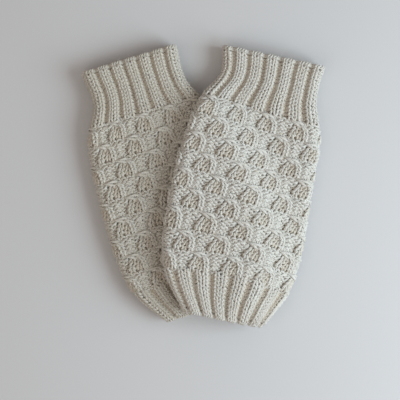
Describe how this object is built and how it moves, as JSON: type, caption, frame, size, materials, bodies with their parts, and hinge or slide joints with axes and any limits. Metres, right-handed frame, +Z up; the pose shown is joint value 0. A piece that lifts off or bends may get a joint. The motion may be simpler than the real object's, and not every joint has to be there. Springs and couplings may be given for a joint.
{
  "type": "fingerless gloves",
  "caption": "Pair of hand-knitted fingerless gloves lying flat, one partly on the other: tubes with a staggered mini-cable pattern and ribbed cuffs at wrist and fingers.",
  "frame": {"origin": "middle of the pair's bounding box at table level", "axes": "+Z up from the table, +Y towards the wrist ends, +X to the right of the pair as it lies, towards the upper glove"},
  "size_m": [0.1731, 0.1988, 0.027],
  "materials": {
    "cable_knit": "heathered oatmeal wool, hand-knitted mini cables on purl",
    "rib_knit": "heathered oatmeal wool, two-by-two rib",
    "edge_yarn": "heathered oatmeal wool, cast-on and bind-off chain",
    "woven_in_yarn": "heathered oatmeal wool, single strand darned in"
  },
  "bodies": {
    "lower_glove": {"lower_cast_on_edge": "edge_yarn", "lower_wrist_cuff": "rib_knit", "lower_hand_body": "cable_knit", "lower_finger_cuff": "rib_knit", "lower_bind_off_edge": "edge_yarn", "lower_cast_on_yarn_end": "woven_in_yarn", "lower_bind_off_yarn_end": "woven_in_yarn"},
    "upper_glove": {"upper_cast_on_edge": "edge_yarn", "upper_wrist_cuff": "rib_knit", "upper_hand_body": "cable_knit", "upper_finger_cuff": "rib_knit", "upper_bind_off_edge": "edge_yarn", "upper_cast_on_yarn_end": "woven_in_yarn", "upper_bind_off_yarn_end": "woven_in_yarn"}
  },
  "joints": [
    {"name": "upper_glove_lift", "type": "slide", "parent": "lower_glove", "child": "upper_glove", "axis": [0, 0, 1], "range_m": [0, 0.06]}
  ]
}
